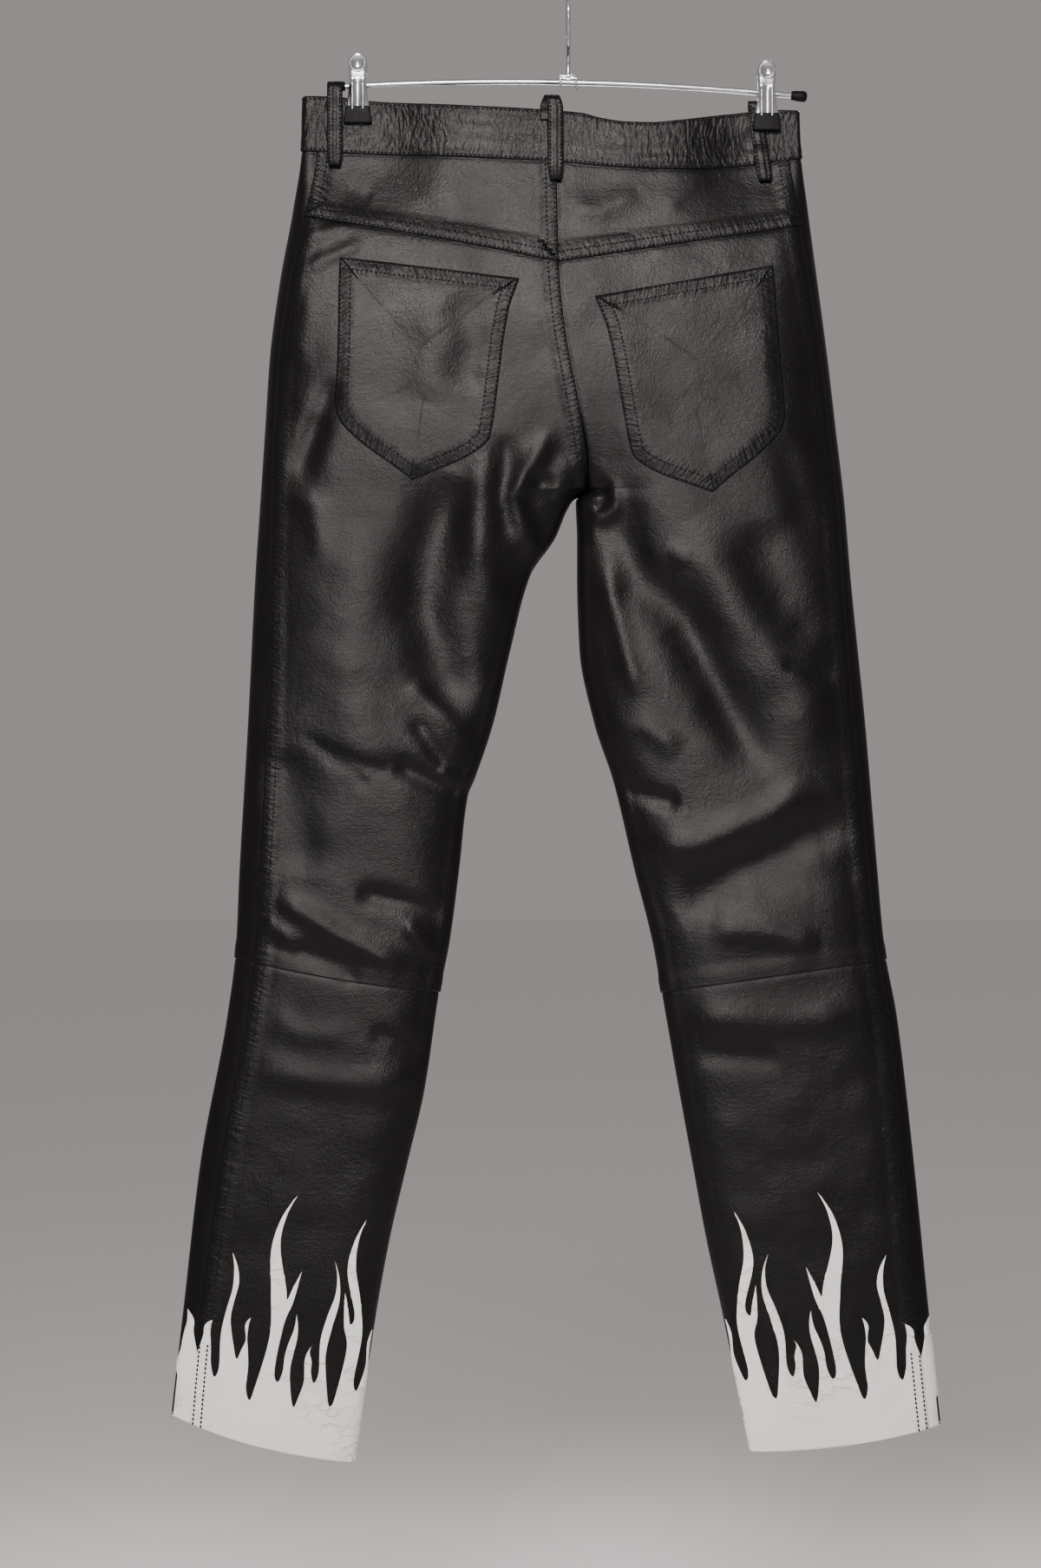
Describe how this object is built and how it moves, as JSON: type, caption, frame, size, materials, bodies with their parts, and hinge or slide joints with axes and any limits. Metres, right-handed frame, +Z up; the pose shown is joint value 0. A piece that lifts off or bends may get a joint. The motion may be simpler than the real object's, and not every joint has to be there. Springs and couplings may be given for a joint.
{
  "type": "leather trousers on a clip hanger",
  "caption": "Straight-leg leather trousers with patch back pockets, a back yoke, knee seams and flame-edged hems, hung by the waistband from a metal clip hanger.",
  "frame": {"origin": "inside top of the hanger's hook, where it is held", "axes": "+Z up; +Y towards the garment's front, the seat faces -Y; +X towards the wearer's right"},
  "size_m": [0.6298, 0.0633, 1.2076],
  "materials": {
    "black_leather": "smooth black nappa with a soft sheen",
    "flame_leather": "black nappa with white flames that rise from the hem",
    "chrome": "polished chrome plate",
    "rubber": "matt black rubber",
    "button_metal": "dark burnished metal"
  },
  "bodies": {
    "root": {"waistband_left": "black_leather", "yoke_left": "black_leather", "back_left": "black_leather", "front_left": "black_leather", "pocket_left": "black_leather", "back_lower_left": "flame_leather", "front_lower_left": "flame_leather", "clip_left_plate_back": "chrome", "clip_left_plate_front": "chrome", "clip_left_spring": "chrome", "clip_left_pad_back": "rubber", "clip_left_pad_front": "rubber", "bar_cap_left": "rubber", "waistband_right": "black_leather", "yoke_right": "black_leather", "back_right": "black_leather", "front_right": "black_leather", "pocket_right": "black_leather", "back_lower_right": "flame_leather", "front_lower_right": "flame_leather", "clip_right_plate_back": "chrome", "clip_right_plate_front": "chrome", "clip_right_spring": "chrome", "clip_right_pad_back": "rubber", "clip_right_pad_front": "rubber", "bar_cap_right": "rubber", "belt_loop_back_left": "black_leather", "belt_loop_back_centre": "black_leather", "belt_loop_back_right": "black_leather", "belt_loop_front_left": "black_leather", "belt_loop_front_right": "black_leather", "fly": "black_leather", "button": "button_metal", "hanger_hook": "chrome", "hanger_bar": "chrome", "hanger_bracket": "chrome"}
  },
  "joints": []
}
